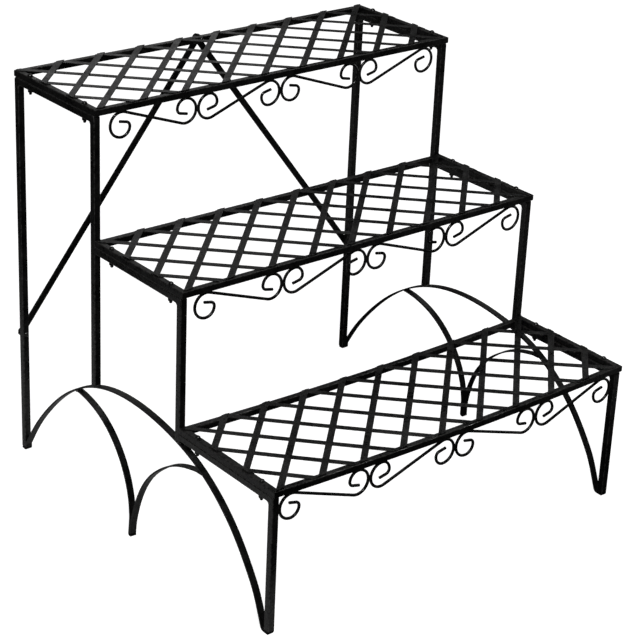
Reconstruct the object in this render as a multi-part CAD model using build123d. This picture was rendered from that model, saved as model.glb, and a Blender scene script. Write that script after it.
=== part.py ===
from build123d import *
import math
import os

# Three-step plant stand: two welded side frames of bent square tube on flat-bar arches,
# three bolted lattice shelves with wire scrolls, and two flat diagonal braces behind.
# Frame: X right along the shelves, -Y to the front, Z up, floor at Z = 0. Units: mm.

# ---- driving dimensions ----
LENGTH = 610.0            # over the shelf ends
STEP = 196.5              # from one upright's front face to the next
SHELF_DEPTH = 199.0       # each shelf, front to back
RIM_TOP = [576.5, 395.5, 205.5]     # top of each shelf rim: top, middle, bottom
RIM = 9.0                 # shelf rim, square tube
RIM_ROUND = 1.2           # rounding along its edges
TUBE = 10.0               # legs, uprights and side rails, square tube
TUBE_ROUND = 1.5          # rounding along their edges
BEND = 4.0                # radius at the bent corners
BAR_W = 9.5               # flat-bar arches: width
BAR_T = 2.4               # and thickness
SAG = [0.0, 0.0, 5.5]     # downward bow of each shelf's long rails at mid length
STRIP_W = 9.0             # lattice strips
STRIP_T = 1.0
STRIP_INSET = 2.0         # strip ends stop this far inside the rim's outer edge
PITCH = 66.2              # from strip to strip, along X
UPPER_START = -297.5      # X where the first rising strip meets the front edge
LOWER_START = -304.5      # X where the first falling strip meets the back edge
WIRE_R = 2.0              # scroll wire radius
CURL_R = 17.3             # outer turn of a curl
INNER_R = 13.2            # its inner turn
HOOK_R = 6.5              # the last turn before the end
HOOK_L = 11.0             # straight end of the wire
SCROLL_ROW = [(-280.8, 560.4), (-284.4, 568.0), (-294.3, 582.4)]   # left end, length
BOLT_AT = [34.5, 168.0]   # shelf bolts, distance from the shelf's back edge
BOLT_R = 2.0
BOLT_HOLE_R = 2.2
NUT_GAP = 0.12            # brace nuts stand this far off the slightly tilted bar
HEAD_R = 3.7
HEAD_H = 3.3
NUT_AF = 7.0
NUT_T = 3.2
TIP = 7.3                 # bolt end below the side rail
BRACE_W = 9.0
BRACE_T = 3.0
BRACE_LOW = 185.0         # height of the lower brace bolts
BRACE_END = 6.0           # bar beyond the bolt
SPLAY = 3.75              # the left middle foot leans out by this angle, degrees
SPLAY_Z = 157.0           # about a line at this height
CENTRE_X = 4.735          # shift that centres the whole part on the origin
CENTRE_Y = 290.65

HALF = LENGTH / 2
SIDE_TOP = [z - RIM for z in RIM_TOP]
SHELF_BACK = [0.0, STEP, 2 * STEP]
NAMES = ["top", "middle", "bottom"]

# centre lines of the flat-bar arches: distance forward from the back face, height
MAIN_ARCH = [(26.4, 34.2), (66.3, 86.5), (106.2, 126.4), (146.0, 155.8), (204.8, 183.5),
             (285.0, 195.7), (365.5, 187.7), (425.8, 169.7), (476.1, 140.4), (516.3, 103.1),
             (546.5, 62.9), (566.6, 23.1)]
REAR_ARCH = [(148.0, 156.0), (183.0, 151.0), (208.0, 142.5), (250.5, 113.0), (273.5, 84.0), (293.5, 18.0)]
FRONT_ARCH = [(296.5, 12.0), (298.5, 30.0), (304.5, 55.0), (331.5, 106.0), (358.5, 130.5),
              (400.5, 152.5), (424.0, 158.5), (442.5, 160.0)]

parts = {}


def add(name, shapes):
    parts[name] = shapes


def side_of(edge, t, offset):
    p = edge.position_at(t)
    d = edge.tangent_at(t)
    return (p.X - d.Y * offset, p.Y + d.X * offset)


def offset_edge(edge, offset):
    # the same curve moved sideways, as a line, an arc or a smooth curve
    kind = edge.geom_type
    if kind == GeomType.LINE:
        return Line(side_of(edge, 0, offset), side_of(edge, 1, offset))
    if kind == GeomType.CIRCLE:
        pts = [side_of(edge, t, offset) for t in (0, 0.5, 1)]
        return ThreePointArc(*pts)
    pts = [side_of(edge, k / 16, offset) for k in range(17)]
    ends = (edge.tangent_at(0), edge.tangent_at(1))
    return Spline(*pts, tangents=[(ends[0].X, ends[0].Y), (ends[1].X, ends[1].Y)])


def band(edges, thick):
    # closed outline of a bent flat bar, from the edges of its centre line
    one = [offset_edge(e, thick / 2) for e in edges]
    two = [offset_edge(e, -thick / 2) for e in edges]
    start = Line(one[0] @ 0, two[0] @ 0)
    end = Line(one[-1] @ 1, two[-1] @ 1)
    return Face(Wire(one + [end] + two[::-1] + [start]))


def in_side_plane(face, x, width):
    # outline drawn as (distance forward, height), thickness along X from x
    plane = Plane(origin=(x + CENTRE_X, CENTRE_Y, 0), x_dir=(0, -1, 0), z_dir=(-1, 0, 0))
    return extrude(plane * face, width, dir=(1, 0, 0))


def main_solid(shape):
    # the largest piece left after a cut
    return max(shape.solids(), key=lambda s: s.volume)


def height_above(edges, d, offset):
    # height of the offset curve at a distance d
    best = None
    for edge in edges:
        for k in range(801):
            p = side_of(edge, k / 800, offset)
            if best is None or abs(p[0] - d) < abs(best[0] - d):
                best = p
    return best[1]


def bent_tube(points, corners, x):
    face = make_face(Polyline(*points, close=True))
    picked = []
    for v in face.vertices():
        if min(math.hypot(v.X - c[0], v.Y - c[1]) for c in corners) < 0.01:
            picked.append(v)
    face = fillet(picked, BEND)
    solid = in_side_plane(face, x, TUBE)
    sides = solid.faces().filter_by(Axis.X)
    rims = [e for f in sides for e in f.edges()]
    return solid, rims


# ---- side frames ----
def main_arch_line():
    floor = BAR_T / 2
    back = FilletPolyline((1.5, floor), (11.5, floor), (11.5, 9.8), MAIN_ARCH[0], radius=[3.0, 6.0])
    front = FilletPolyline(MAIN_ARCH[-1], (575.2, floor), (588.0, floor), radius=6.0)
    run_in = back.edges()[-1] % 1
    run_out = front.edges()[0] % 0
    crown = Spline(*MAIN_ARCH, tangents=[(run_in.X, run_in.Y), (run_out.X, run_out.Y)])
    return list(back.edges()) + list(crown.edges()) + list(front.edges())


def rear_arch_line():
    x, z = REAR_ARCH[-1]
    curve = Spline(*REAR_ARCH, tangents=[(1, -0.02), (0, -1)], tangent_scalars=[1, 1])
    foot = FilletPolyline((x, z), (x, BAR_T / 2), (x + 4.6, BAR_T / 2), radius=2.2)
    return list(curve.edges()) + list(foot.edges())


def front_arch_line():
    x, z = FRONT_ARCH[0]
    foot = Line((x, BAR_T), (x, z))
    curve = Spline(*FRONT_ARCH, tangents=[(0, 1), (1, 0.02)])
    return [foot.edge()] + list(curve.edges())


arch = main_arch_line()
for side, x0 in (("left", -HALF), ("right", HALF - TUBE)):
    feet = [height_above(arch, d, 0) for d in (STEP - TUBE, STEP, 2 * STEP - TUBE, 2 * STEP)]
    x_bar = x0 if side == "left" else HALF - BAR_W
    arch_bar = in_side_plane(band(arch, BAR_T), x_bar, BAR_W)
    arch_room = in_side_plane(band(arch, BAR_T), x0, TUBE)
    top, mid, low = SIDE_TOP
    d1, d2, d3 = STEP, 2 * STEP, 3 * STEP
    i1, i2, i3 = d1 - TUBE, d2 - TUBE, d3 - TUBE
    hoop = [(0, BAR_T), (0, top), (d1, top), (d1, feet[1]),
            (i1, feet[0]), (i1, top - TUBE), (TUBE, top - TUBE), (TUBE, BAR_T)]
    middle = [(d1, mid), (d2, mid), (d2, feet[3]),
              (i2, feet[2]), (i2, mid - TUBE), (d1, mid - TUBE)]
    bottom = [(d2, low), (d3, low), (d3, BAR_T),
              (i3, BAR_T), (i3, low - TUBE), (d2, low - TUBE)]
    bends = [("back_hoop", hoop, [1, 2, 5, 6]), ("middle_bend", middle, [1, 4]),
             ("low_bend", bottom, [1, 4])]
    x_bolt = (-1 if side == "left" else 1) * (HALF - RIM / 2) + CENTRE_X
    for shelf, (name, pts, bent) in enumerate(bends):
        solid, rims = bent_tube(pts, [pts[k] for k in bent], x0)
        solid = fillet(rims, TUBE_ROUND)
        for at in BOLT_AT:
            hole = Pos(x_bolt, CENTRE_Y - SHELF_BACK[shelf] - at, SIDE_TOP[shelf] - TUBE / 2)
            solid -= hole * Cylinder(BOLT_HOLE_R, TUBE + 2)
        if shelf == 0:
            hole = Pos(x0 + TUBE / 2 + CENTRE_X, CENTRE_Y - TUBE / 2, BRACE_LOW) * Rot(90, 0, 0)
            solid -= hole * Cylinder(BOLT_HOLE_R, TUBE + 2)
        add(side + "_" + name, [main_solid(solid - arch_room)])
    add(side + "_main_arch", [arch_bar])
    lean = SPLAY if side == "left" else 0.0
    axis = Axis((x_bar + BAR_W / 2 + CENTRE_X, 0, SPLAY_Z), (0, 1, 0))
    cutters = [arch_bar]
    for name, line in (("rear_inner_arch", rear_arch_line()), ("front_inner_arch", front_arch_line())):
        bar = in_side_plane(band(line, BAR_T), x_bar, BAR_W).rotate(axis, lean)
        for cutter in cutters:
            bar = bar - cutter
        bar = main_solid(bar)
        cutters.append(bar)
        add(side + "_" + name, [bar])


# ---- shelves ----
def bowed_sheet(z, thick, sag, depth):
    # sheet the length of the shelf, its top at z at the ends and sag lower in the middle
    if sag == 0:
        return Pos(0, -depth / 2, z - thick / 2) * Box(LENGTH, depth, thick)
    bow = HALF - TUBE
    outline = [Line((-HALF, z), (-bow, z)), ThreePointArc((-bow, z), (0, z - sag), (bow, z)),
               Line((bow, z), (HALF, z)), Line((HALF, z), (HALF, z - thick)),
               Line((HALF, z - thick), (bow, z - thick)),
               ThreePointArc((bow, z - thick), (0, z - thick - sag), (-bow, z - thick)),
               Line((-bow, z - thick), (-HALF, z - thick)), Line((-HALF, z - thick), (-HALF, z))]
    return extrude(Plane.XZ * Face(Wire(outline)), depth, dir=(0, -1, 0))


def mitre(points):
    return Pos(0, 0, -50) * extrude(make_face(Polyline(*points, close=True)), 800)


def long_edges(solid, axis):
    return [e for e in solid.edges() if abs(e.tangent_at(0.5).dot(axis)) > 0.9 and e.length > 50]


def rail(solid, axis):
    return fillet(long_edges(solid, axis), RIM_ROUND)


def bowed_z(x, sag):
    return -sag * (1 - (x / HALF) ** 2)


def strips(start, rising, z, sag):
    # diagonal strips cut from one bowed sheet, ends square to the rim
    sheet = bowed_sheet(z, STRIP_T, sag, SHELF_DEPTH)
    field = Pos(0, -SHELF_DEPTH / 2, 0) * Box(LENGTH - 2 * STRIP_INSET, SHELF_DEPTH - 2 * STRIP_INSET, 2000)
    sheet = sheet & field
    half_w = STRIP_W / 2 * math.sqrt(2)
    out = []
    for k in range(-2, 9):
        x = start + k * PITCH
        far = SHELF_DEPTH
        if rising:
            pts = [(x - half_w, -far), (x + half_w, -far), (x + half_w + far, 0), (x - half_w + far, 0)]
        else:
            pts = [(x - half_w, 0), (x + half_w, 0), (x + half_w + far, -far), (x - half_w + far, -far)]
        out += (mitre(pts) & sheet).solids()
    return out


def scroll(width, flip):
    # S-shaped wire hung under the rim, from its left end, top of the wire at height 0
    c1 = Vector(CURL_R + WIRE_R, -CURL_R - WIRE_R)
    inner = Vector(c1.X, c1.Y - CURL_R + INNER_R)
    hook = Vector(inner.X + INNER_R - HOOK_R, inner.Y)
    turn = 78.0
    span = width - 2 * c1.X
    slope = math.degrees(math.asin(2 * CURL_R / span))

    def at(c, r, angle):
        a = math.radians(angle)
        return (c.X + r * math.cos(a), c.Y + r * math.sin(a))

    hook_end = at(hook, HOOK_R, turn)
    back = math.radians(turn + 90)
    tip = (hook_end[0] + HOOK_L * math.cos(back), hook_end[1] + HOOK_L * math.sin(back))
    half = [("line", tip, hook_end),
            ("arc", hook_end, at(hook, HOOK_R, turn / 2), at(hook, HOOK_R, 0)),
            ("arc", at(inner, INNER_R, 0), at(inner, INNER_R, -45), at(inner, INNER_R, -90)),
            ("arc", at(c1, CURL_R, -90), at(c1, CURL_R, -180), at(c1, CURL_R, -270)),
            ("arc", at(c1, CURL_R, 90), at(c1, CURL_R, 90 - slope / 2), at(c1, CURL_R, 90 - slope))]

    def turned(p):
        return (width - p[0], 2 * c1.Y - p[1])

    other = [(h[0],) + tuple(turned(p) for p in reversed(h[1:])) for h in reversed(half)]
    middle = [("line", half[-1][-1], other[0][1])]
    edges = []
    for kind, *pts in half + middle + other:
        if flip:
            pts = [(width - p[0], p[1]) for p in pts]
        edges.append(Line(*pts) if kind == "line" else ThreePointArc(*pts))
    path = Wire(edges=[Plane.XZ * e.edge() for e in edges])
    section = Plane(origin=path @ 0, z_dir=path % 0) * Circle(WIRE_R)
    return sweep(section, path=path)


for i, name in enumerate(NAMES):
    z = RIM_TOP[i]
    sag = SAG[i]
    place = Pos(CENTRE_X, CENTRE_Y - SHELF_BACK[i], 0)
    plan = [(-HALF, 0), (HALF, 0), (HALF, -SHELF_DEPTH), (-HALF, -SHELF_DEPTH)]
    clear = HALF - RIM
    inner = [(-clear, -RIM), (clear, -RIM), (clear, RIM - SHELF_DEPTH), (-clear, RIM - SHELF_DEPTH)]
    long_rail = rail(bowed_sheet(z, RIM, sag, RIM), Vector(1, 0, 0))
    front_cut = mitre([plan[3], plan[2], inner[2], inner[3]])
    back_cut = mitre([plan[0], plan[1], inner[1], inner[0]])
    back_rail = place * (long_rail & back_cut)
    if i == 0:
        # the braces' upper bolt goes through the middle of this rail
        hole = Pos(CENTRE_X, CENTRE_Y - RIM / 2, z - RIM / 2) * Rot(90, 0, 0)
        back_rail -= hole * Cylinder(BOLT_HOLE_R, RIM + 2)
    add(name + "_back_rail", [back_rail])
    add(name + "_front_rail", [place * ((Pos(0, RIM - SHELF_DEPTH, 0) * long_rail) & front_cut)])
    for side, sx in (("left", -1), ("right", 1)):
        bar = Pos(sx * (HALF - RIM / 2), -SHELF_DEPTH / 2, z - RIM / 2) * Box(RIM, SHELF_DEPTH, RIM)
        bar = rail(bar, Vector(0, 1, 0))
        k = 0 if sx < 0 else 1
        bar = bar & mitre([plan[k], plan[3 - k], inner[3 - k], inner[k]])
        for at in BOLT_AT:
            bar -= Pos(sx * (HALF - RIM / 2), -at, z - RIM / 2) * Cylinder(BOLT_HOLE_R, RIM + 2)
        add(name + "_" + side + "_rail", [place * bar])
    lower = strips(LOWER_START, False, z + STRIP_T, sag)
    upper = strips(UPPER_START, True, z + 2 * STRIP_T, sag)
    add(name + "_lower_strips", [place * s for s in lower])
    add(name + "_upper_strips", [place * s for s in upper])
    left_end, row = SCROLL_ROW[i]
    width = row / 4
    for k in range(4):
        x = left_end + k * width
        mid_x = x + width / 2
        tilt = math.degrees(2 * sag * mid_x / HALF ** 2)
        piece = Pos(-width / 2, 0, 0) * scroll(width, k % 2 == 1)
        piece = Pos(mid_x, RIM / 2 - SHELF_DEPTH, z - RIM + bowed_z(mid_x, sag)) * Rot(0, -tilt, 0) * piece
        add(name + "_scroll_%d" % (k + 1), [place * piece])


# ---- fasteners ----
def dome_head(radius, height):
    # a shallow dome on a short straight rim, its seat at height 0
    rim = 0.6
    rise = height - rim
    ball = (radius ** 2 + rise ** 2) / (2 * rise)
    dome = Pos(0, 0, height - ball) * Sphere(ball)
    return dome & (Pos(0, 0, height / 2) * Cylinder(radius, height))


def bolt(length):
    shank = Pos(0, 0, -length / 2) * Cylinder(BOLT_R, length)
    shank = fillet(shank.edges().filter_by(GeomType.CIRCLE).sort_by(Axis.Z)[:1], 1.4)
    return dome_head(HEAD_R, HEAD_H) + shank


def nut():
    body = extrude(RegularPolygon(NUT_AF / 2, 6, major_radius=False), NUT_T)
    body -= Cylinder(BOLT_R, 3 * NUT_T)
    return body


for i, name in enumerate(NAMES):
    bolts = []
    nuts = []
    for sx in (-1, 1):
        for at in BOLT_AT:
            spot = Pos(sx * (HALF - RIM / 2) + CENTRE_X, CENTRE_Y - SHELF_BACK[i] - at, RIM_TOP[i])
            bolts.append(spot * bolt(RIM + TUBE + TIP))
            nuts.append(spot * Pos(0, 0, -RIM - TUBE - NUT_T) * nut())
    add(name + "_shelf_bolts", bolts)
    add(name + "_shelf_nuts", nuts)

# ---- back braces: flat bars behind the back legs, crossing at the top rail's middle ----
foot_x = HALF - TUBE / 2
apex_z = RIM_TOP[0] - RIM / 2
run = math.hypot(foot_x, apex_z - BRACE_LOW)
angle = math.degrees(math.atan2(apex_z - BRACE_LOW, foot_x))
climb = (math.cos(math.radians(angle)), 0, math.sin(math.radians(angle)))
lying = Plane(origin=(-foot_x, 0, BRACE_LOW), x_dir=climb, z_dir=(0, 1, 0))
over = math.degrees(math.atan2(BRACE_T, run))
for side, sx, lift, gap in (("left", -1, 0.0, 0.0), ("right", 1, over, 0.05)):
    # the right bar rises by one thickness along its length, to lie over the left one
    blank = Pos(run / 2, 0, 0) * Box(run + 2 * BRACE_END, BRACE_W, BRACE_T)
    blank = fillet(blank.edges().filter_by(Axis.Z), BRACE_W * 0.4)
    blank -= Pos(0, 0, 0) * Cylinder(BOLT_HOLE_R, 20)
    blank -= Pos(run, 0, 0) * Cylinder(BOLT_HOLE_R, 20)
    bar = lying * Pos(0, 0, BRACE_T / 2 + gap) * Rot(0, -lift, 0) * blank
    if sx > 0:
        bar = mirror(bar, about=Plane.YZ)
    add(side + "_brace", [Pos(CENTRE_X, CENTRE_Y, 0) * bar])

leg_bolts = []
brace_nuts = []
for sx in (-1, 1):
    spot = Pos(sx * foot_x + CENTRE_X, CENTRE_Y - TUBE, BRACE_LOW) * Rot(90, 0, 0)
    leg_bolts.append(spot * bolt(TUBE + BRACE_T + NUT_T + 1.5))
    brace_nuts.append(spot * Pos(0, 0, -TUBE - BRACE_T - NUT_T - NUT_GAP) * nut())
spot = Pos(CENTRE_X, CENTRE_Y - RIM, apex_z) * Rot(90, 0, 0)
add("brace_leg_bolts", leg_bolts)
add("brace_centre_bolt", [spot * bolt(RIM + 2 * BRACE_T + NUT_T + 1.5)])
brace_nuts.append(spot * Pos(0, 0, -RIM - 2 * BRACE_T - NUT_T - NUT_GAP) * nut())
add("brace_nuts", brace_nuts)

# ---- write one STEP file per node ----
os.makedirs("parts", exist_ok=True)
lowest = [1e9, 1e9, 1e9]
highest = [-1e9, -1e9, -1e9]
for name, shapes in parts.items():
    solids = [s for shape in shapes for s in shape.solids()]
    shape = solids[0] if len(solids) == 1 else Compound(children=solids)
    box = shape.bounding_box()
    for k, v in enumerate((box.min.X, box.min.Y, box.min.Z)):
        lowest[k] = min(lowest[k], v)
    for k, v in enumerate((box.max.X, box.max.Y, box.max.Z)):
        highest[k] = max(highest[k], v)
    volume = sum(s.volume for s in solids)
    valid = all(s.is_valid for s in solids)
    print("%-26s solids %2d  volume %9.1f mm3  valid %s" % (name, len(solids), volume, valid))
    export_step(shape, os.path.join("parts", name + ".step"))
print("nodes", len(parts), "box", [round(v, 2) for v in lowest], [round(v, 2) for v in highest])
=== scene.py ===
import math
import random

import bpy
from mathutils import Matrix, Vector, noise


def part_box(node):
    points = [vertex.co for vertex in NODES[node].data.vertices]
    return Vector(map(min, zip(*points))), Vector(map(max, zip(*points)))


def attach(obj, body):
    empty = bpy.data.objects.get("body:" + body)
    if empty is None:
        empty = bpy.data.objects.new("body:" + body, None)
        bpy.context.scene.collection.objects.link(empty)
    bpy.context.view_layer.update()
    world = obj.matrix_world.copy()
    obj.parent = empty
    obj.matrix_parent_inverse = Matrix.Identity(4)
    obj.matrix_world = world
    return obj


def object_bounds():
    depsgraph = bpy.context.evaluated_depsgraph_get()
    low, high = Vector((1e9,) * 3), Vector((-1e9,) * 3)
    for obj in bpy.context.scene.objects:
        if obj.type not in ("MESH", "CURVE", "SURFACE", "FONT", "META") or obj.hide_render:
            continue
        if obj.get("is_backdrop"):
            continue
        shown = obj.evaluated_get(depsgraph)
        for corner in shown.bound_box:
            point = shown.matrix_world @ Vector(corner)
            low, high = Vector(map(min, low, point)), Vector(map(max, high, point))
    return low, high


# Three-step plant stand in black powder coat. The CAD nodes keep their shapes and get materials here.
# The welds and the bolt threads, which the CAD leaves out, are added as meshes. Units are metres.

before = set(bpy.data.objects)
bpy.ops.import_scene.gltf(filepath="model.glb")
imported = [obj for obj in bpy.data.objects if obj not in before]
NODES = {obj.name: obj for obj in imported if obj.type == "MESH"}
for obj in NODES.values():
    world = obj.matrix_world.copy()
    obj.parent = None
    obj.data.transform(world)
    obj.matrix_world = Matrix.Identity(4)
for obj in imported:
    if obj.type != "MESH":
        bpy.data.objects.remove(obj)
CAD_LOW, CAD_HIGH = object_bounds()
RNG = random.Random(4127)
MM = 0.001

SHELVES = ("top", "middle", "bottom")
SIDES = ("left", "right")
SCROLLS = 4                # scrolls under each shelf

UP = Vector((0, 0, 1))
RIGHT = Vector((1, 0, 0))
FORWARD = Vector((0, -1, 0))
BACK = Vector((0, 1, 0))


# ---- materials ----
# noise scales, in cells per metre
PATCH_SCALE = 38.0
CLOUD_SCALE = 230.0
SPECK_SCALE = 620.0
SKIN_SCALE = 800.0
WORN_AND_HIGHLIT_EDGE_TONE = 0.085        # coat worn thin along an edge, lightened further as a painted highlight
DUST_TONE = 0.055
COAT_IOR = 1.5


class Graph:
    """Short names for building one material's nodes."""

    def __init__(self, name):
        self.material = bpy.data.materials.new(name)
        self.material.use_nodes = True
        self.tree = self.material.node_tree
        self.shader = next(n for n in self.tree.nodes if n.type == "BSDF_PRINCIPLED")

    def node(self, kind, settings=None, **inputs):
        made = self.tree.nodes.new(kind)
        for key, value in (settings or {}).items():
            setattr(made, key, value)
        for key, value in inputs.items():
            self.feed(made.inputs[key], value)
        return made

    def feed(self, socket, value):
        if isinstance(value, bpy.types.NodeSocket):
            self.tree.links.new(value, socket)
        else:
            socket.default_value = value

    def math(self, operation, a, b=0.0, clamp=False):
        made = self.tree.nodes.new("ShaderNodeMath")
        made.operation = operation
        made.use_clamp = clamp
        self.feed(made.inputs[0], a)
        self.feed(made.inputs[1], b)
        return made.outputs[0]

    def noise(self, where, scale, detail=3.0, rough=0.55):
        made = self.node("ShaderNodeTexNoise", Scale=scale, Detail=detail, Roughness=rough)
        self.tree.links.new(where, made.inputs["Vector"])
        return made.outputs["Fac"]

    def span(self, value, low, high, to_low=0.0, to_high=1.0):
        made = self.node("ShaderNodeMapRange", {"clamp": True})
        self.feed(made.inputs["Value"], value)
        for key, v in (("From Min", low), ("From Max", high), ("To Min", to_low), ("To Max", to_high)):
            made.inputs[key].default_value = v
        return made.outputs["Result"]

    def mix(self, factor, a, b):
        made = self.tree.nodes.new("ShaderNodeMix")
        made.data_type = "RGBA"
        self.feed(made.inputs["Factor"], factor)
        self.feed(made.inputs[6], a)
        self.feed(made.inputs[7], b)
        return made.outputs[2]


def grey(value, warm=0.0):
    """A grey, a little warmer or cooler."""
    return (value * (1 + warm), value, value * (1 - warm), 1.0)


def powder_coat(name, tone, gloss, shine, edge, peel=1.0, dust=1.0, wear_and_highlight=1.0, grain=0.35, square=False):
    """Black powder coat: orange-peel skin, mottled gloss, some dust on top faces, edges lightened partly
    as thinner coat and partly as a painted highlight.

    tone is the coat's grey, gloss its roughness, shine its specular level and edge its bevel in mm.
    """
    g = Graph(name)
    place = g.node("ShaderNodeTexCoord").outputs["Object"]
    facing = g.node("ShaderNodeNewGeometry")
    patches = g.noise(place, PATCH_SCALE, 4.0)
    cloud = g.noise(place, CLOUD_SCALE, 3.0)
    skin = g.noise(place, SKIN_SCALE, 2.0, 0.5)
    specks = g.noise(place, SPECK_SCALE, 2.0, 0.6)

    # rounded normal: its difference from the flat one marks the edges
    soft = g.node("ShaderNodeBevel", {"samples": 6}, Radius=edge * MM)
    turn = g.tree.nodes.new("ShaderNodeVectorMath")
    turn.operation = "DOT_PRODUCT"
    g.feed(turn.inputs[0], soft.outputs["Normal"])
    g.feed(turn.inputs[1], facing.outputs["True Normal"])
    rim = g.span(turn.outputs["Value"], 0.985, 0.80)
    if square:
        # flat faces of square stock look along an axis, and its rounded edges don't
        axes = g.node("ShaderNodeSeparateXYZ")
        g.feed(axes.inputs[0], facing.outputs["True Normal"])
        steps = [g.math("ABSOLUTE", axes.outputs[k]) for k in range(3)]
        straight = g.math("MAXIMUM", g.math("MAXIMUM", steps[0], steps[1]), steps[2])
        # so the rounded edges of tubes and rims get the painted edge highlight as well
        rim = g.math("MAXIMUM", rim, g.span(straight, 0.97, 0.84))
    # edge mask, patchy: worn coat plus a painted highlight along the edges
    edge_wear_and_highlight = g.math("MULTIPLY", rim, g.span(cloud, 0.38, 0.66, 0.15, 1.0))

    # dust lies where the surface looks up
    parts = g.node("ShaderNodeSeparateXYZ")
    g.feed(parts.inputs[0], facing.outputs["Normal"])
    up = g.span(parts.outputs["Z"], 0.55, 1.0)
    lying = g.math("MULTIPLY", up, g.span(patches, 0.38, 0.70, 0.0, 1.0))
    lying = g.math("MULTIPLY", lying, g.span(specks, 0.40, 0.70, 0.15, 1.0))
    lying = g.math("MULTIPLY", lying, 0.6 * dust, clamp=True)

    coat = g.mix(g.span(patches, 0.36, 0.64), grey(tone * 0.4, -0.03), grey(tone * 1.7, 0.03))
    # edges mixed towards a lighter grey: partly worn coat, partly painted highlight
    coat = g.mix(g.math("MULTIPLY", edge_wear_and_highlight, 0.8 * wear_and_highlight, clamp=True), coat, grey(WORN_AND_HIGHLIT_EDGE_TONE, 0.03))
    coat = g.mix(lying, coat, grey(DUST_TONE, 0.05))
    g.feed(g.shader.inputs["Base Color"], coat)

    # dull and shiny patches, duller under dust, shinier along the edges
    rough = g.span(cloud, 0.3, 0.7, gloss - 0.06, gloss + 0.06)
    rough = g.math("ADD", rough, g.span(patches, 0.35, 0.65, -0.05, 0.07))
    rough = g.math("ADD", rough, g.math("MULTIPLY", lying, 0.45))
    rough = g.math("SUBTRACT", rough, g.math("MULTIPLY", edge_wear_and_highlight, 0.09 * wear_and_highlight), clamp=True)
    g.feed(g.shader.inputs["Roughness"], rough)

    # orange peel, fine and wide
    fine = g.node("ShaderNodeBump", Strength=0.30 * peel, Distance=0.09 * MM, Height=skin)
    g.feed(fine.inputs["Normal"], soft.outputs["Normal"])
    wide = g.node("ShaderNodeBump", Strength=0.20 * peel, Distance=0.30 * MM, Height=cloud)
    g.feed(wide.inputs["Normal"], fine.outputs["Normal"])
    g.feed(g.shader.inputs["Normal"], wide.outputs["Normal"])

    # mottled shine
    mottle = g.span(specks, 0.36, 0.66, -grain, grain)
    mottle = g.math("ADD", mottle, g.span(cloud, 0.36, 0.64, -0.30, 0.30))
    mottle = g.math("MULTIPLY", g.math("ADD", mottle, 1.0), shine, clamp=True)
    g.feed(g.shader.inputs["Specular IOR Level"], mottle)
    g.shader.inputs["IOR"].default_value = COAT_IOR
    return g.material


COATS = {
    "tube_frame": powder_coat(
        "tube_frame_coat", tone=0.0050, gloss=0.30, shine=0.50, edge=0.7, square=True),
    "flat_bar": powder_coat(
        "flat_bar_coat", tone=0.0038, gloss=0.36, shine=0.30, edge=0.5, peel=1.1),
    "shelf_rim": powder_coat(
        "shelf_rim_coat", tone=0.0050, gloss=0.32, shine=0.40, edge=0.6, dust=0.8, square=True),
    "lattice": powder_coat(
        "lattice_coat", tone=0.0055, gloss=0.34, shine=0.38, edge=0.35, peel=1.3, dust=0.45, grain=0.65),
    "scroll_wire": powder_coat(
        "scroll_wire_coat", tone=0.0045, gloss=0.24, shine=0.50, edge=0.3, peel=0.8, dust=0.5),
    "fastener": powder_coat(
        "fastener_coat", tone=0.0060, gloss=0.24, shine=0.60, edge=0.35, peel=0.4, dust=0.4, wear_and_highlight=1.2),
}


def slot_of(node):
    """Material slot of a CAD node, from its name."""
    if "bolt" in node or "nut" in node:
        return "fastener"
    if "scroll" in node:
        return "scroll_wire"
    if "strips" in node:
        return "lattice"
    if "arch" in node or "brace" in node:
        return "flat_bar"
    if "hoop" in node or "bend" in node:
        return "tube_frame"
    return "shelf_rim"


for node_name, thing in NODES.items():
    thing.data.materials.clear()
    thing.data.materials.append(COATS[slot_of(node_name)])


# ---- weld beads ----
BEAD_SIDES = 10            # points round a bead
RING_STEP = 0.35 * MM      # distance between its rings
FEWEST_RINGS = 7
SAME_SPOT = 0.05 * MM      # points nearer than this are one

# width and height of each kind of bead
STRIP_TACK = (2.0 * MM, 0.75 * MM)
RIM_TACK = (1.5 * MM, 1.1 * MM)
CURL_TACK = (1.9 * MM, 0.9 * MM)
MITRE_TOP = (1.1 * MM, 0.28 * MM)
MITRE_EDGE = (0.9 * MM, 0.36 * MM)
BUTT_WELD = (2.2 * MM, 0.9 * MM)
BUTT_SIDE = (1.8 * MM, 0.45 * MM)
UPRIGHT_FRONT = (3.0 * MM, 1.5 * MM)
UPRIGHT_BACK = (2.4 * MM, 1.1 * MM)
UPRIGHT_SIDE = (2.6 * MM, 0.8 * MM)
ARCH_END = (3.4 * MM, 1.3 * MM)
ARCH_CROTCH = (3.4 * MM, 1.2 * MM)
FOOT_SIDE = (1.8 * MM, 0.6 * MM)
LEG_WELD = (2.8 * MM, 1.1 * MM)


def link(name, data):
    """A new object in the scene, with this mesh, light or camera."""
    thing = bpy.data.objects.new(name, data)
    bpy.context.scene.collection.objects.link(thing)
    return thing


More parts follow.
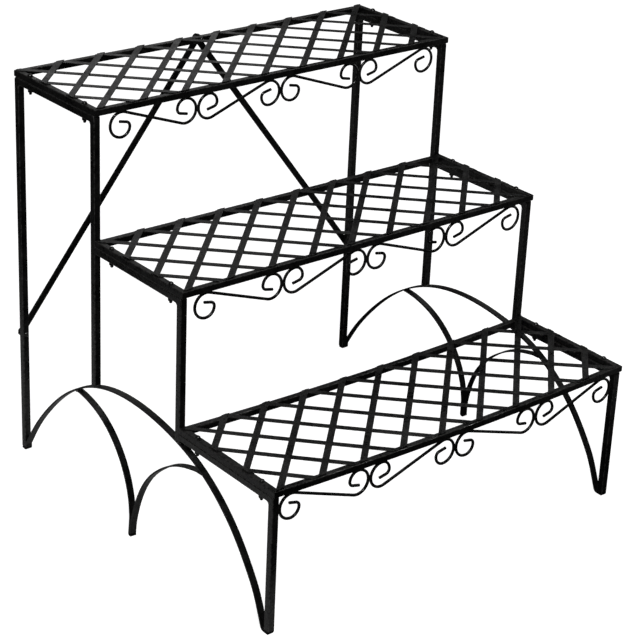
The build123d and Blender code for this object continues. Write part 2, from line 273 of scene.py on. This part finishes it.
class Beads:
    """One mesh of weld beads, each a rippled, tapering ridge partly sunk in the metal, or of threads."""

    def __init__(self, name, slot):
        self.name = name
        self.slot = slot
        self.points = []
        self.faces = []

    def run(self, a, b, out, size, ripple=1.1 * MM):
        """A bead of this width and height from a to b, with its ripples this far apart."""
        width, height = size
        a, b, out = Vector(a), Vector(b), Vector(out).normalized()
        along = b - a
        length = along.length
        along.normalize()
        across = along.cross(out).normalized()
        rings = max(FEWEST_RINGS, int(length / RING_STEP))
        sides = BEAD_SIDES
        short = length < 6 * width
        seed = Vector((RNG.uniform(0, 50), RNG.uniform(0, 50), RNG.uniform(0, 50)))
        first = len(self.points)
        self.points.append(a)
        for i in range(1, rings):
            t = i / rings
            taper = math.sin(math.pi * t) ** 0.42 if short else min(1.0, 5 * min(t, 1 - t)) ** 0.5
            wave = 0.5 + 0.5 * math.cos(2 * math.pi * t * length / ripple)
            swell = 1 + 0.30 * noise.noise(seed + along * (t * length / (2.2 * MM)))
            side_slip = 0.12 * width * noise.noise(seed * 1.7 + along * (t * length / (1.6 * MM)))
            centre = a + along * (t * length) + across * side_slip
            for k in range(sides):
                angle = 2 * math.pi * k / sides
                w = width / 2 * taper * swell * math.cos(angle)
                h = height * taper * swell * (0.82 + 0.18 * wave) * math.sin(angle)
                self.points.append(centre + across * w + out * h)
        self.points.append(b)
        last = len(self.points) - 1
        for k in range(sides):
            n = (k + 1) % sides
            self.faces.append((first, first + 1 + n, first + 1 + k))
            end = first + 1 + (rings - 2) * sides
            self.faces.append((last, end + k, end + n))
            for i in range(rings - 2):
                row = first + 1 + i * sides
                self.faces.append((row + k, row + n, row + sides + n, row + sides + k))

    def make(self):
        """The mesh as a piece that rides on the stand."""
        mesh = bpy.data.meshes.new(self.name)
        mesh.from_pydata([tuple(p) for p in self.points], [], self.faces)
        mesh.validate()
        mesh.shade_smooth()
        mesh.materials.append(COATS[self.slot])
        thing = link(self.name, mesh)
        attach(thing, "root")


def islands(node):
    """The separate solids of a node, each as a list of its corner points."""
    mesh = NODES[node].data
    spots = {}
    owner = []
    for v in mesh.vertices:
        key = tuple(round(c / SAME_SPOT) for c in v.co)
        owner.append(spots.setdefault(key, len(spots)))
    parent = list(range(len(spots)))

    def root(i):
        while parent[i] != i:
            parent[i] = parent[parent[i]]
            i = parent[i]
        return i

    for edge in mesh.edges:
        a, b = root(owner[edge.vertices[0]]), root(owner[edge.vertices[1]])
        parent[a] = b
    groups = {}
    for v in mesh.vertices:
        groups.setdefault(root(owner[v.index]), []).append(v.co.copy())
    return [groups[key] for key in sorted(groups)]


# tack welds at the ends of the lattice strips
NARROWEST = 5 * MM         # strip ends cut narrower than this have none
for shelf in SHELVES:
    tacks = Beads(shelf + "_strip_tacks", "lattice")
    for layer in ("lower", "upper"):
        node = "%s_%s_strips" % (shelf, layer)
        low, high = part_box(node)
        for points in islands(node):
            for axis in (0, 1):
                for limit in (low[axis], high[axis]):
                    # the strip's end face, if it lies at this side of the lattice
                    cut = [p for p in points if abs(p[axis] - limit) < SAME_SPOT]
                    if len(cut) < 4:
                        continue
                    other = 1 - axis
                    ends = sorted(cut, key=lambda p: p[other])
                    width = ends[-1][other] - ends[0][other]
                    if width < NARROWEST:
                        continue
                    top = max(p.z for p in cut)
                    middle = (ends[0] + ends[-1]) / 2
                    middle.z = top - 0.5 * MM
                    reach = width * RNG.uniform(0.20, 0.30)
                    step = BACK if axis == 0 else RIGHT
                    middle[axis] += 0.35 * MM if limit == low[axis] else -0.35 * MM
                    middle[other] += width * RNG.uniform(-0.12, 0.12)
                    step = step * reach
                    tacks.run(middle - step, middle + step, UP, STRIP_TACK)
    tacks.make()

# tack welds between the scrolls and the rim above them, and between neighbouring scrolls
for shelf in SHELVES:
    tacks = Beads(shelf + "_scroll_tacks", "scroll_wire")
    for number in range(1, SCROLLS + 1):
        low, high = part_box("%s_scroll_%d" % (shelf, number))
        centre_y = (low.y + high.y) / 2
        curl = (high.z - low.z) / 2
        for x in (low.x + curl, high.x - curl):
            for back in (-1, 1):
                spot_x = x + RNG.uniform(-0.4, 0.4) * MM
                spot = Vector((spot_x, centre_y + back * 1.1 * MM, high.z - 0.3 * MM))
                reach = RNG.uniform(2.6, 3.6) * MM
                step = RIGHT * reach
                tacks.run(spot - step, spot + step, BACK * back, RIM_TACK)
        if number < SCROLLS:
            spot = Vector((high.x, centre_y - 0.8 * MM, (low.z + high.z) / 2))
            step = UP * 2.6 * MM
            tacks.run(spot - step, spot + step, FORWARD, CURL_TACK)
    tacks.make()

# mitre seams at the rim corners, across the top and down the outer edge
SEAM_RIPPLE = 0.9 * MM
for shelf in SHELVES:
    seams = Beads(shelf + "_mitre_seams", "shelf_rim")
    rims = [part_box("%s_%s_rail" % (shelf, part)) for part in ("back", "front", "left", "right")]
    low = Vector(min(r[0][k] for r in rims) for k in range(3))
    high = Vector(max(r[1][k] for r in rims) for k in range(3))
    left_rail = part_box(shelf + "_left_rail")
    bar = left_rail[1].x - left_rail[0].x
    top = left_rail[1].z
    for sx in (-1, 1):
        for sy in (-1, 1):
            outward = Vector((sx, sy, 0))
            corner_x = low.x if sx < 0 else high.x
            corner_y = low.y if sy < 0 else high.y
            corner = Vector((corner_x, corner_y, top - 0.12 * MM))
            a = corner - outward * (1.0 * MM)
            b = corner - outward * (bar - 0.3 * MM)
            seams.run(a, b, UP, MITRE_TOP, ripple=SEAM_RIPPLE)
            edge = corner - outward * (0.50 * MM) - UP * (0.9 * MM)
            foot = edge - UP * (bar - 1.8 * MM)
            seams.run(edge, foot, outward, MITRE_EDGE, ripple=SEAM_RIPPLE)
    seams.make()

# ---- welds of the side frames ----
BEND_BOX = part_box("left_middle_bend")
TUBE = BEND_BOX[1].x - BEND_BOX[0].x
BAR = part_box("left_main_arch")[1].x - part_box("left_main_arch")[0].x
FOOT_FOLD = 2.4 * MM       # bar folded under a foot
CROTCH = 23.0 * MM         # height where the two inner arches part
END_BAND = 0.4 * MM        # an inner arch's points this near its top are its end


def corners(node, keep):
    """Lowest and highest corner of the mesh points of a node that keep() accepts."""
    spots = [v.co for v in NODES[node].data.vertices if keep(v.co)]
    low = Vector(min(p[k] for p in spots) for k in range(3))
    return low, Vector(max(p[k] for p in spots) for k in range(3))


def weld_butt(beads, centre_x, y, top):
    """A horizontal tube butts against the front of an upright: beads over, under and beside it."""
    left = centre_x - (TUBE / 2 - 0.8 * MM)
    right = centre_x + (TUBE / 2 - 0.8 * MM)
    low = top - TUBE
    beads.run((left, y, top), (right, y, top), UP + FORWARD, BUTT_WELD)
    beads.run((left, y, low), (right, y, low), FORWARD - UP, BUTT_WELD)
    for sx in (-1, 1):
        x = centre_x + sx * (TUBE / 2 - 0.25 * MM)
        beads.run((x, y, top - 1.2 * MM), (x, y, low + 1.2 * MM), RIGHT * sx, BUTT_SIDE)


def weld_upright(beads, node):
    """An upright stands on the main arch: a bead on each of its four sides."""
    low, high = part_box(node)
    front, back = low.y, low.y + TUBE
    z_front = corners(node, lambda p: p.y < front + 2 * MM)[0].z
    z_back = corners(node, lambda p: abs(p.y - back) < 2 * MM)[0].z
    inset = 0.9 * MM
    left, right = low.x + inset, high.x - inset
    z = z_front + 0.4 * MM
    beads.run((left, front, z), (right, front, z), FORWARD + UP, UPRIGHT_FRONT)
    z = z_back + 0.4 * MM
    beads.run((left, back, z), (right, back, z), BACK + UP, UPRIGHT_BACK)
    for x, sx in ((low.x, -1), (high.x, 1)):
        x -= sx * 0.25 * MM
        a = (x, front + inset, z_front + 0.7 * MM)
        b = (x, back - inset, z_back + 0.7 * MM)
        beads.run(a, b, RIGHT * sx, UPRIGHT_SIDE)


def weld_across(beads, spot, out, size):
    """A bead across a flat bar, with its middle at the spot."""
    half = RIGHT * (BAR / 2 - 0.6 * MM)
    beads.run(spot - half, spot + half, out, size)


def weld_bar_end(beads, node, shift, out):
    """A bead where the top end of an inner arch meets the bar above it."""
    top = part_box(node)[1].z
    low, high = corners(node, lambda p: p.z > top - END_BAND)
    weld_across(beads, (low + high) / 2 + shift, out, ARCH_END)


for side in SIDES:
    beads = Beads(side + "_frame_welds", "tube_frame")
    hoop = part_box(side + "_back_hoop")
    centre_x = (hoop[0].x + hoop[1].x) / 2
    for name in ("middle_bend", "low_bend"):
        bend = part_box(side + "_" + name)
        weld_butt(beads, centre_x, bend[1].y - 0.2 * MM, bend[1].z)
    weld_upright(beads, side + "_back_hoop")
    weld_upright(beads, side + "_middle_bend")
    beads.make()

    beads = Beads(side + "_arch_welds", "flat_bar")
    rear, front = side + "_rear_inner_arch", side + "_front_inner_arch"
    # the inner arches run into the underside of the main arch
    weld_bar_end(beads, rear, FORWARD * 2.0 * MM + UP * 0.4 * MM, FORWARD + UP)
    weld_bar_end(beads, front, BACK * 1.0 * MM + UP * 0.2 * MM, BACK + UP)
    # and stand together on one foot
    foot_low, foot_high = corners(front, lambda p: p.z < 12.5 * MM)
    rise_low, rise_high = corners(rear, lambda p: abs(p.z - CROTCH) < 9 * MM)
    middle_y = foot_high.y + 0.3 * MM
    spot = Vector(((rise_low.x + rise_high.x) / 2, middle_y, CROTCH))
    weld_across(beads, spot, UP, ARCH_CROTCH)
    for sx in (-1, 1):
        foot_x = (foot_low.x if sx < 0 else foot_high.x) - sx * 0.5 * MM
        rise_x = (rise_low.x if sx < 0 else rise_high.x) - sx * 0.5 * MM
        a = (foot_x, middle_y, FOOT_FOLD)
        b = (rise_x, middle_y, CROTCH)
        beads.run(a, b, RIGHT * sx, FOOT_SIDE)
    # the main arch is welded to the legs, just above its folded ends
    leg_front = hoop[1].y - TUBE
    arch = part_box(side + "_main_arch")
    arch_x = (arch[0].x + arch[1].x) / 2
    spot = Vector((arch_x, leg_front - 0.6 * MM, 13.0 * MM))
    weld_across(beads, spot, UP + FORWARD * 0.4, LEG_WELD)
    leg_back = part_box(side + "_low_bend")[0].y + TUBE
    spot = Vector((arch_x, leg_back + 0.6 * MM, 5.2 * MM))
    weld_across(beads, spot, UP + BACK * 0.6, LEG_WELD)
    beads.make()


# ---- threads on the bolt ends ----
PITCH = 0.7 * MM
THREAD_SIDES = 16          # steps in one turn
THREAD_HALF = 0.24 * MM    # half the width of the ridge at its foot
THREAD_SINK = 0.12 * MM    # its foot lies this far inside the bolt
THREAD_START = 0.9 * MM    # distance of its first turn from the tip
BOLT_END = 4 * MM          # length of bolt that gives its centre and radius


def thread(points, faces, tip, axis, length, radius):
    """A helical ridge round a bolt's end, from near its tip towards its head."""
    side_a = axis.orthogonal().normalized()
    side_b = axis.cross(side_a)
    sides = THREAD_SIDES
    count = int(length / PITCH * sides)
    first = len(points)
    for i in range(count + 1):
        turn = 2 * math.pi * i / sides
        height = PITCH * i / sides
        fade = min(1.0, i / sides, (count - i) / sides)
        outward = side_a * math.cos(turn) + side_b * math.sin(turn)
        base = tip + axis * (THREAD_START + height)
        points.append(base + outward * (radius - THREAD_SINK) - axis * THREAD_HALF)
        points.append(base + outward * (radius + (0.20 * fade - 0.06) * MM))
        points.append(base + outward * (radius - THREAD_SINK) + axis * THREAD_HALF)
    for i in range(count):
        a = first + 3 * i
        for k, n in ((0, 1), (1, 2), (2, 0)):
            faces.append((a + k, a + 3 + k, a + 3 + n, a + n))
    faces.append((first, first + 1, first + 2))
    last = first + 3 * count
    faces.append((last + 2, last + 1, last))


for shelf in SHELVES:
    threads = Beads(shelf + "_bolt_threads", "fastener")
    nut_heights = [p.z for points in islands(shelf + "_shelf_nuts") for p in points]
    for points in islands(shelf + "_shelf_bolts"):
        end = min(p.z for p in points)
        ring = [p for p in points if p.z - end < BOLT_END]
        tip = sum(ring, Vector()) / len(ring)
        tip.z = end
        near = min(abs(z - end) for z in nut_heights)
        radius = max((p - tip).cross(UP).length for p in ring)
        thread(threads.points, threads.faces, tip, UP, near - 0.6 * MM, radius)
    threads.make()

# ---- floor, light and camera ----
FLOOR_REACH = 14.0
SWEEP_RADIUS = 13.0
SWEEP_COLUMNS = 48
SWEEP_ROWS = 10
FLOOR_GLOW = 0.93
SWEEP_GLOW = 1.0


def paper(name, glow):
    """Plain white paper, lit evenly from inside."""
    g = Graph(name)
    g.shader.inputs["Emission Color"].default_value = grey(1.0)
    g.shader.inputs["Emission Strength"].default_value = glow
    return g


floor_mesh = bpy.data.meshes.new("floor")
floor_points = [(x * FLOOR_REACH, y * FLOOR_REACH, 0) for x, y in ((-1, -1), (1, -1), (1, 1), (-1, 1))]
floor_mesh.from_pydata(floor_points, [], [(0, 1, 2, 3)])
floor = link("floor", floor_mesh)
g = paper("floor_paper", FLOOR_GLOW)
spot = g.node("ShaderNodeTexCoord").outputs["Object"]
g.feed(g.shader.inputs["Base Color"], g.mix(g.noise(spot, 3.0), grey(0.60), grey(0.62)))
g.shader.inputs["Roughness"].default_value = 0.9
g.shader.inputs["Specular IOR Level"].default_value = 0.1
floor_mesh.materials.append(g.material)

# white half dome over the floor
sweep_mesh = bpy.data.meshes.new("backdrop")
sweep_points = []
for row in range(SWEEP_ROWS + 1):
    tilt = math.pi / 2 * row / SWEEP_ROWS
    reach, height = SWEEP_RADIUS * math.cos(tilt), SWEEP_RADIUS * math.sin(tilt)
    for column in range(SWEEP_COLUMNS):
        turn = 2 * math.pi * column / SWEEP_COLUMNS
        sweep_points.append((reach * math.cos(turn), reach * math.sin(turn), height))
sweep_faces = []
for row in range(SWEEP_ROWS):
    a = row * SWEEP_COLUMNS
    b = a + SWEEP_COLUMNS
    for column in range(SWEEP_COLUMNS):
        n = (column + 1) % SWEEP_COLUMNS
        sweep_faces.append((a + column, a + n, b + n, b + column))
sweep_mesh.from_pydata(sweep_points, [], sweep_faces)
sweep = link("backdrop", sweep_mesh)
g = paper("backdrop_paper", SWEEP_GLOW)
g.shader.inputs["Base Color"].default_value = grey(0.5)
g.shader.inputs["Roughness"].default_value = 1.0
sweep_mesh.materials.append(g.material)

# the paper is a background only: it doesn't light the stand
for sheet in (floor, sweep):
    sheet.visible_glossy = False
    sheet.visible_diffuse = False
    sheet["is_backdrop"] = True
sweep.visible_shadow = False


def area_light(name, where, toward, size_x, size_y, power):
    """A rectangular lamp that looks from one place toward another."""
    data = bpy.data.lights.new(name, "AREA")
    data.shape = "RECTANGLE"
    data.size = size_x
    data.size_y = size_y
    data.energy = power
    lamp = link(name, data)
    lamp.location = where
    lamp.rotation_mode = "QUATERNION"
    lamp.rotation_quaternion = (Vector(toward) - Vector(where)).to_track_quat("-Z", "Y")
    return lamp


MIDDLE = (CAD_LOW + CAD_HIGH) / 2
# name, place, width, height, power
SOFTBOXES = (
    ("back_softbox", (1.1, 2.6, 1.25), 1.4, 0.6, 2.1),
    ("top_softbox", (-0.2, 0.4, 3.0), 1.2, 1.2, 4.5),
    ("key_light", (-1.2, -1.6, 2.9), 0.5, 0.5, 40),
    ("side_light", (1.6, 0.9, 2.5), 0.7, 0.7, 6),
    ("right_softbox", (3.0, -0.4, 0.7), 1.4, 1.0, 12),
    ("left_softbox", (-3.0, -0.6, 0.9), 1.2, 0.8, 2.5),
    ("behind_softbox", (-0.6, 3.0, 0.4), 1.4, 0.6, 2.5),
)
for name, where, size_x, size_y, power in SOFTBOXES:
    area_light(name, where, MIDDLE, size_x, size_y, power)

CARD_LIFT = 0.004          # glowing cards lie this high over the floor
# name, centre x and y, width, depth, power
CARDS = (
    ("left_card", -0.53, 0.12, 0.7, 1.0, 0.55),
    ("back_card", 0.3, 1.2, 1.8, 1.2, 1.0),
    ("right_card", 1.1, 0.1, 1.2, 1.6, 0.6),
    ("front_card", -0.7, -1.2, 1.0, 0.9, 0.2),
)
for name, x, y, size_x, size_y, power in CARDS:
    card = area_light(name, (x, y, CARD_LIFT), (x, y, 1.0), size_x, size_y, power)
    card.rotation_mode = "XYZ"
    card.rotation_euler = (math.pi, 0, 0)
    card.visible_camera = False

# dim room, a little lighter overhead than below
WORLD_BELOW = 0.012
WORLD_ABOVE = 0.04
world = bpy.data.worlds.new("studio")
bpy.context.scene.world = world
world.use_nodes = True
tree = world.node_tree
sky = next(n for n in tree.nodes if n.type == "BACKGROUND")
direction = tree.nodes.new("ShaderNodeTexCoord")
split = tree.nodes.new("ShaderNodeSeparateXYZ")
tree.links.new(direction.outputs["Generated"], split.inputs[0])
ramp = tree.nodes.new("ShaderNodeValToRGB")
ramp.color_ramp.elements[0].position = 0.40
ramp.color_ramp.elements[0].color = grey(WORLD_BELOW)
ramp.color_ramp.elements[1].position = 0.60
ramp.color_ramp.elements[1].color = grey(WORLD_ABOVE)
shift = tree.nodes.new("ShaderNodeMapRange")
shift.inputs["From Min"].default_value = -1
shift.inputs["From Max"].default_value = 1
tree.links.new(split.outputs["Z"], shift.inputs["Value"])
tree.links.new(shift.outputs["Result"], ramp.inputs["Fac"])
tree.links.new(ramp.outputs["Color"], sky.inputs["Color"])
sky.inputs["Strength"].default_value = 1.0

# camera: across, above and away are its axes, and away points from the stand to it
AZIMUTH = math.radians(-39.1)
ELEVATION = math.radians(23.3)
ROLL = math.radians(2.2)
CAMERA_PLACE = Vector((-1.5842, -1.8932, 1.3924))
LENS = 109.68
SHIFT_X = 0.047
SHIFT_Y = -0.094
level = math.cos(ELEVATION)
away = Vector((math.sin(AZIMUTH) * level, -math.cos(AZIMUTH) * level, math.sin(ELEVATION)))
right = (-away).cross(UP).normalized()
upward = right.cross(-away)
across = right * math.cos(ROLL) + upward * math.sin(ROLL)
above = upward * math.cos(ROLL) - right * math.sin(ROLL)
camera_data = bpy.data.cameras.new("camera")
camera_data.sensor_width = 36
camera_data.lens = LENS
camera_data.shift_x = SHIFT_X
camera_data.shift_y = SHIFT_Y
camera_data.clip_start = 0.05
camera_data.clip_end = 60
camera = link("camera", camera_data)
turned = Matrix((across, above, away)).transposed()
camera.matrix_world = Matrix.Translation(CAMERA_PLACE) @ turned.to_4x4()
bpy.context.scene.camera = camera
bpy.context.scene.view_settings.view_transform = "Standard"
bpy.context.scene.view_settings.look = "None"

low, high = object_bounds()
